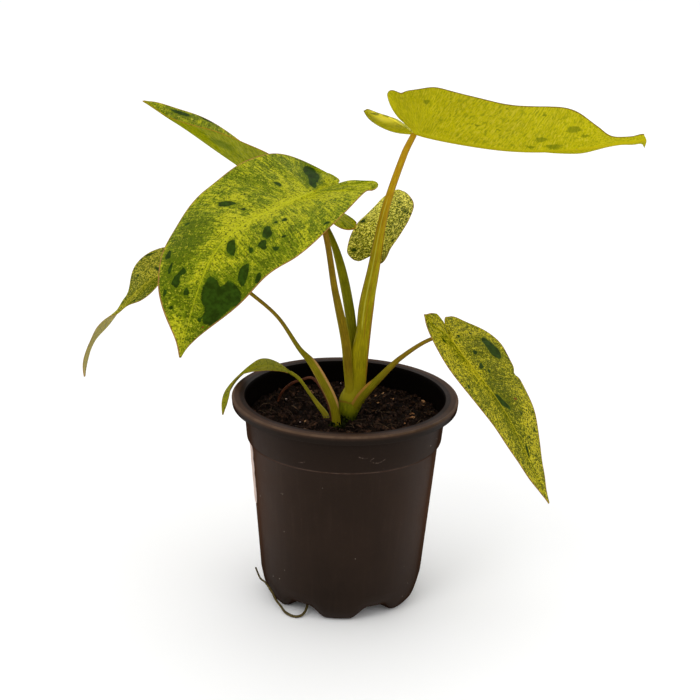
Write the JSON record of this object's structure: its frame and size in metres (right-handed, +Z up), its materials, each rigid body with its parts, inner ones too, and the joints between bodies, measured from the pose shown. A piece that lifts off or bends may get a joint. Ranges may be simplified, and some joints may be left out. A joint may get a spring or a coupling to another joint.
{
  "type": "potted philodendron",
  "caption": "Young philodendron with heart-shaped marbled leaves on long curved stalks, rooted in potting mix in a tapered nursery pot with a rolled lip and scalloped feet.",
  "frame": {"origin": "centre of the pot's underside, on the surface that the pot stands on", "axes": "+Z up; -Y towards the picture's viewer; +X to the viewer's right, where the tallest leaf reaches"},
  "size_m": [0.2894, 0.1647, 0.2799],
  "materials": {
    "pot": "satin, near black",
    "soil": "damp, crumbly, matt",
    "label": "satin, blank",
    "stem": "smooth, lime green",
    "petiole": "smooth, olive",
    "root": "matt, reddish brown",
    "leaf": "satin, yellow-green with dark green marbling"
  },
  "bodies": {
    "root": {"pot": "pot", "soil": "soil", "label": "label", "main_stem": "stem", "offshoot_stem": "stem", "aerial_root": "root", "drain_root": "root", "blade_front": "leaf", "petiole_front": "petiole", "blade_tall": "leaf", "petiole_tall": "petiole", "blade_back": "leaf", "petiole_back": "petiole", "blade_new": "leaf", "petiole_new": "petiole", "blade_left": "leaf", "petiole_left": "petiole", "blade_right": "leaf", "petiole_right": "petiole", "blade_small": "leaf", "petiole_small": "petiole"}
  },
  "joints": []
}
